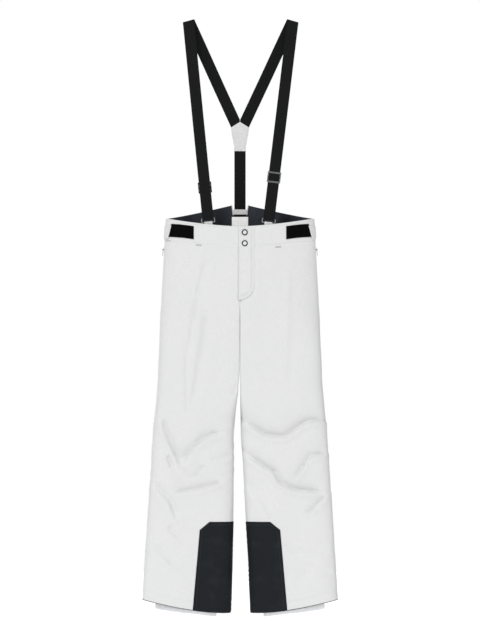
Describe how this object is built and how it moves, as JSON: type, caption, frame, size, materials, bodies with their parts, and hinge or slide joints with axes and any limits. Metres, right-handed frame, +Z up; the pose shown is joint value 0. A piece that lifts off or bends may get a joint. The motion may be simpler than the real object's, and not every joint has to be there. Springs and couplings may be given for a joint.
{
  "type": "ski trousers",
  "caption": "Insulated ski trousers with wide legs, scuff-guarded cuffs, inner snow gaiters, a snapped fly, hook-and-loop waist tabs, and elastic braces that join in a yoke at the back.",
  "frame": {"origin": "midway between the two shoulder folds of the braces, on the line of the rail or hanger that they hang on", "axes": "+Z up, -Y the trousers' front, +X the wearer's left"},
  "size_m": [0.538, 0.1255, 1.6409],
  "materials": {
    "shell": "matte coated plain weave, off-white",
    "lining": "smooth navy taffeta",
    "scuff_guard": "coarse coated weave, blue-black",
    "gaiter": "thin light grey taffeta",
    "webbing": "ribbed black elastic",
    "hook_and_loop": "matte black loop pile",
    "label": "plain satin, no print",
    "zip_coil": "nylon coil on tape",
    "metal": "satin grey plate",
    "snap_metal": "dark nickel"
  },
  "bodies": {
    "braces": {"shoulder_strap_left": "webbing", "shoulder_strap_right": "webbing", "back_strap": "webbing", "yoke_front": "shell", "yoke_back": "shell"},
    "trunk": {"waistband_front_left": "shell", "waistband_front_right": "shell", "waistband_back_left": "shell", "waistband_back_right": "shell", "body_front_left": "shell", "body_front_right": "shell", "body_back_left": "shell", "body_back_right": "shell", "lining_back": "lining", "lining_front_left": "lining", "lining_front_right": "lining", "back_keeper": "shell", "blank_label": "label", "loop_patch_left": "hook_and_loop", "loop_patch_right": "hook_and_loop", "hook_ring_left": "metal", "hook_ring_right": "metal", "strap_tail_left": "webbing", "strap_tail_right": "webbing", "waist_loop_left": "shell", "waist_loop_right": "shell", "pocket_zip_left": "zip_coil", "pocket_zip_right": "zip_coil", "fly_zip_left": "zip_coil", "fly_zip_right": "zip_coil", "snap_stud_upper": "snap_metal", "snap_stud_lower": "snap_metal"},
    "fly_flap": {"fly_flap": "shell", "snap_cap_upper": "snap_metal", "snap_cap_lower": "snap_metal"},
    "fly_slider": {"fly_slider": "metal"},
    "adjuster_left": {"adjuster_left": "metal"},
    "adjuster_right": {"adjuster_right": "metal"},
    "waist_tab_left": {"waist_tab_left": "shell"},
    "pocket_slider_left": {"pocket_slider_left": "metal"},
    "pocket_pull_left": {"pocket_pull_left": "metal"},
    "waist_tab_right": {"waist_tab_right": "shell"},
    "pocket_slider_right": {"pocket_slider_right": "metal"},
    "pocket_pull_right": {"pocket_pull_right": "metal"},
    "thigh_left": {"thigh_front_left": "shell", "thigh_back_left": "shell"},
    "shin_left": {"shin_front_left": "shell", "shin_back_left": "shell", "cuff_guard_left": "scuff_guard", "gaiter_left": "gaiter"},
    "thigh_right": {"thigh_front_right": "shell", "thigh_back_right": "shell"},
    "shin_right": {"shin_front_right": "shell", "shin_back_right": "shell", "cuff_guard_right": "scuff_guard", "gaiter_right": "gaiter"}
  },
  "joints": [
    {"name": "brace_length", "type": "slide", "parent": "braces", "child": "trunk", "axis": [0, 0, 1], "range_m": [-0.03, 0.04]},
    {"name": "adjuster_slide_left", "type": "slide", "parent": "braces", "child": "adjuster_left", "axis": [0.1204, 0, 0.9927], "range_m": [-0.062, 0.082]},
    {"name": "adjuster_slide_right", "type": "slide", "parent": "braces", "child": "adjuster_right", "axis": [-0.0988, 0, 0.9951], "range_m": [-0.062, 0.082]},
    {"name": "fly_flap_lift", "type": "hinge", "parent": "trunk", "child": "fly_flap", "pos_m": [0.04, -0.05894, -0.7619], "axis": [0, 0.0358, 0.9994], "range_deg": [0, 110]},
    {"name": "fly_slider_slide", "type": "slide", "parent": "trunk", "child": "fly_slider", "axis": [0, -0.0358, -0.9994], "range_m": [0, 0.11]},
    {"name": "waist_tab_peel_left", "type": "hinge", "parent": "trunk", "child": "waist_tab_left", "pos_m": [0.15, 0.0476, -0.5735], "axis": [0, 0, 1], "range_deg": [0, 80]},
    {"name": "pocket_slider_slide_left", "type": "slide", "parent": "trunk", "child": "pocket_slider_left", "axis": [0.0537, 0, -0.9986], "range_m": [0, 0.125]},
    {"name": "pocket_pull_swing_left", "type": "hinge", "parent": "pocket_slider_left", "child": "pocket_pull_left", "pos_m": [0.21158, 0, -0.62004], "axis": [0, -1, 0], "range_deg": [0, 150]},
    {"name": "waist_tab_peel_right", "type": "hinge", "parent": "trunk", "child": "waist_tab_right", "pos_m": [-0.15, 0.0476, -0.5735], "axis": [0, 0, -1], "range_deg": [0, 80]},
    {"name": "pocket_slider_slide_right", "type": "slide", "parent": "trunk", "child": "pocket_slider_right", "axis": [-0.0537, 0, -0.9986], "range_m": [0, 0.125]},
    {"name": "pocket_pull_swing_right", "type": "hinge", "parent": "pocket_slider_right", "child": "pocket_pull_right", "pos_m": [-0.21158, 0, -0.62004], "axis": [0, 1, 0], "range_deg": [0, 150]},
    {"name": "hip_left", "type": "hinge", "parent": "trunk", "child": "thigh_left", "pos_m": [0, 0, -0.859], "axis": [-1, 0, 0], "range_deg": [-30, 80]},
    {"name": "knee_left", "type": "hinge", "parent": "thigh_left", "child": "shin_left", "pos_m": [0, 0, -1.185], "axis": [1, 0, 0], "range_deg": [0, 100]},
    {"name": "hip_right", "type": "hinge", "parent": "trunk", "child": "thigh_right", "pos_m": [0, 0, -0.859], "axis": [-1, 0, 0], "range_deg": [-30, 80]},
    {"name": "knee_right", "type": "hinge", "parent": "thigh_right", "child": "shin_right", "pos_m": [0, 0, -1.185], "axis": [1, 0, 0], "range_deg": [0, 100]}
  ],
  "couplings": [
    {"joint": "adjuster_slide_left", "follows": "brace_length", "ratio": 2},
    {"joint": "adjuster_slide_right", "follows": "brace_length", "ratio": 2}
  ]
}
